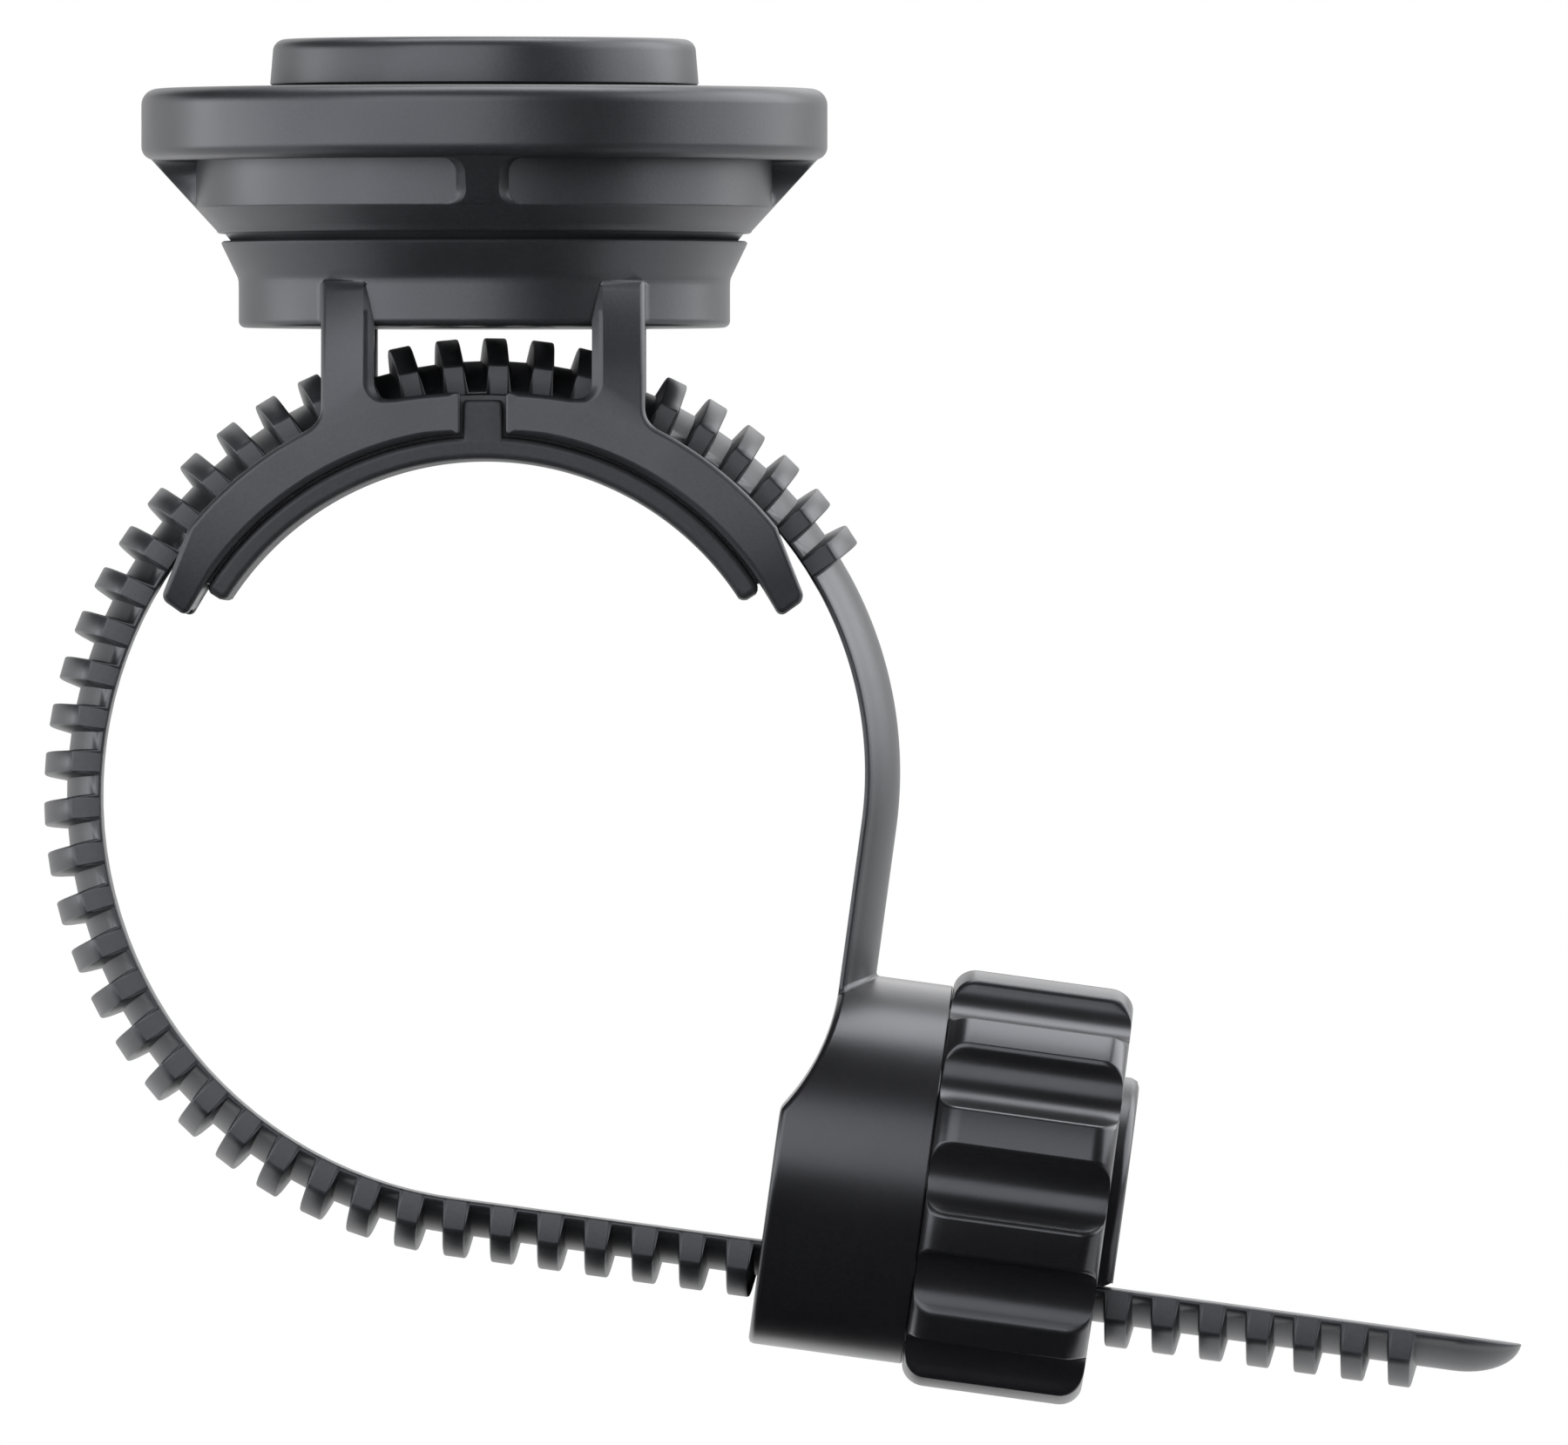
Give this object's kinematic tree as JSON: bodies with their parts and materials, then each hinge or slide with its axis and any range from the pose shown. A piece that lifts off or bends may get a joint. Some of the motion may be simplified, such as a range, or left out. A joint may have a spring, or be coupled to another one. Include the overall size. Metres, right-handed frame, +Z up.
{
  "type": "phone handlebar mount",
  "caption": "Swivelling round phone head on a padded saddle, held to a handlebar by a toothed strap that a fluted screw knob draws tight.",
  "frame": {"origin": "centre of the handlebar that the saddle pad sits on, midway across the mount", "axes": "+Z up through the phone head, +Y along the handlebar, +X towards the strap's free tail"},
  "size_m": [0.0775, 0.036, 0.0716],
  "materials": {
    "charcoal_nylon": "satin moulded glass-filled nylon",
    "black_nylon": "smooth black moulded nylon",
    "black_rubber": "matt moulded rubber",
    "black_acetal": "turned black acetal",
    "zinc_plated_steel": "bright zinc plate",
    "nickel_plate": "nickel plate"
  },
  "bodies": {
    "bracket": {"saddle_bracket": "charcoal_nylon", "saddle_pad": "black_rubber", "slip_washer": "black_acetal"},
    "head": {"head_body": "charcoal_nylon", "boss_cap": "charcoal_nylon", "yoke_plate": "nickel_plate", "magnet_1": "nickel_plate", "magnet_2": "nickel_plate", "magnet_3": "nickel_plate", "magnet_4": "nickel_plate", "magnet_5": "nickel_plate", "magnet_6": "nickel_plate", "cap_screw_1": "zinc_plated_steel", "cap_screw_2": "zinc_plated_steel", "cap_screw_3": "zinc_plated_steel", "lock_nut": "zinc_plated_steel", "swivel_screw": "zinc_plated_steel", "wave_washer": "zinc_plated_steel"},
    "strap": {"strap_band": "charcoal_nylon", "strap_neck": "charcoal_nylon"},
    "clamp": {"clamp_block": "black_nylon", "knob_snap_ring": "zinc_plated_steel"},
    "knob": {"knob": "black_nylon"}
  },
  "joints": [
    {"name": "head_swivel", "type": "hinge", "parent": "bracket", "child": "head", "pos_m": [0, 0, 0.0278], "axis": [0, 0, 1], "continuous": true},
    {"name": "strap_slip", "type": "hinge", "parent": "bracket", "child": "strap", "pos_m": [0.00025, 0, -0.00045], "axis": [0, 1, 0], "range_deg": [-30, 40]},
    {"name": "clamp_feed", "type": "slide", "parent": "strap", "child": "clamp", "axis": [0.9907, 0, -0.1357], "range_m": [-0.0075, 0.0075], "deforming": ["strap_neck"]},
    {"name": "knob_turn", "type": "hinge", "parent": "clamp", "child": "knob", "pos_m": [0.02797, 0, -0.02224], "axis": [0.9907, 0, -0.1357], "range_deg": [-1081, 1081]}
  ],
  "couplings": [
    {"joint": "knob_turn", "follows": "clamp_feed", "rad_per_m": 2513.3}
  ]
}
